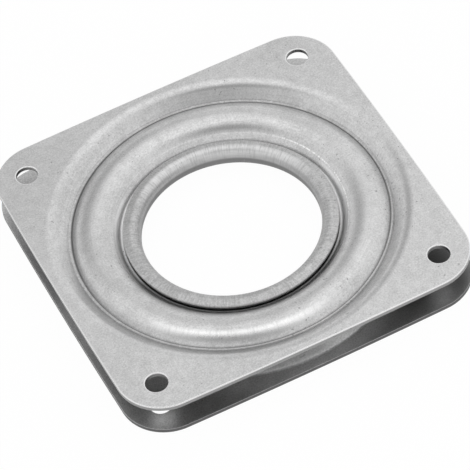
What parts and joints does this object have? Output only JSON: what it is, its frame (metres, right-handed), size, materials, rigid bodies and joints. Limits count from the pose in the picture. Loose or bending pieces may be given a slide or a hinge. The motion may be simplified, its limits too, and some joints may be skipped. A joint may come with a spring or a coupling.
{
  "type": "lazy susan bearing",
  "caption": "Flat square turntable bearing: pressed steel plates that turn on loose balls, held together by a curled bore, with screw holes in the corners.",
  "frame": {"origin": "on the turning axis, level with the lower plate's mounting face", "axes": "+Z along the turning axis from the lower plate to the upper plate, +X and +Y square to the plates' sides"},
  "size_m": [0.0762, 0.0762, 0.0079],
  "materials": {
    "upper_plate": "zinc plated pressed sheet steel, satin",
    "lower_plate": "zinc plated pressed sheet steel, satin",
    "balls": "polished bearing steel"
  },
  "bodies": {
    "lower": {"lower_plate": "lower_plate"},
    "upper": {"upper_plate": "upper_plate"},
    "ball_ring": {"ball_01": "balls", "ball_02": "balls", "ball_03": "balls", "ball_04": "balls", "ball_05": "balls", "ball_06": "balls", "ball_07": "balls", "ball_08": "balls", "ball_09": "balls", "ball_10": "balls", "ball_11": "balls", "ball_12": "balls", "ball_13": "balls", "ball_14": "balls", "ball_15": "balls", "ball_16": "balls", "ball_17": "balls", "ball_18": "balls", "ball_19": "balls", "ball_20": "balls", "ball_21": "balls", "ball_22": "balls", "ball_23": "balls", "ball_24": "balls"}
  },
  "joints": [
    {"name": "swivel", "type": "hinge", "parent": "lower", "child": "upper", "pos_m": [0, 0, 0.00397], "axis": [0, 0, 1], "continuous": true},
    {"name": "ball_orbit", "type": "hinge", "parent": "lower", "child": "ball_ring", "pos_m": [0, 0, 0.00397], "axis": [0, 0, 1], "continuous": true}
  ],
  "couplings": [
    {"joint": "ball_orbit", "follows": "swivel", "ratio": 0.5}
  ]
}
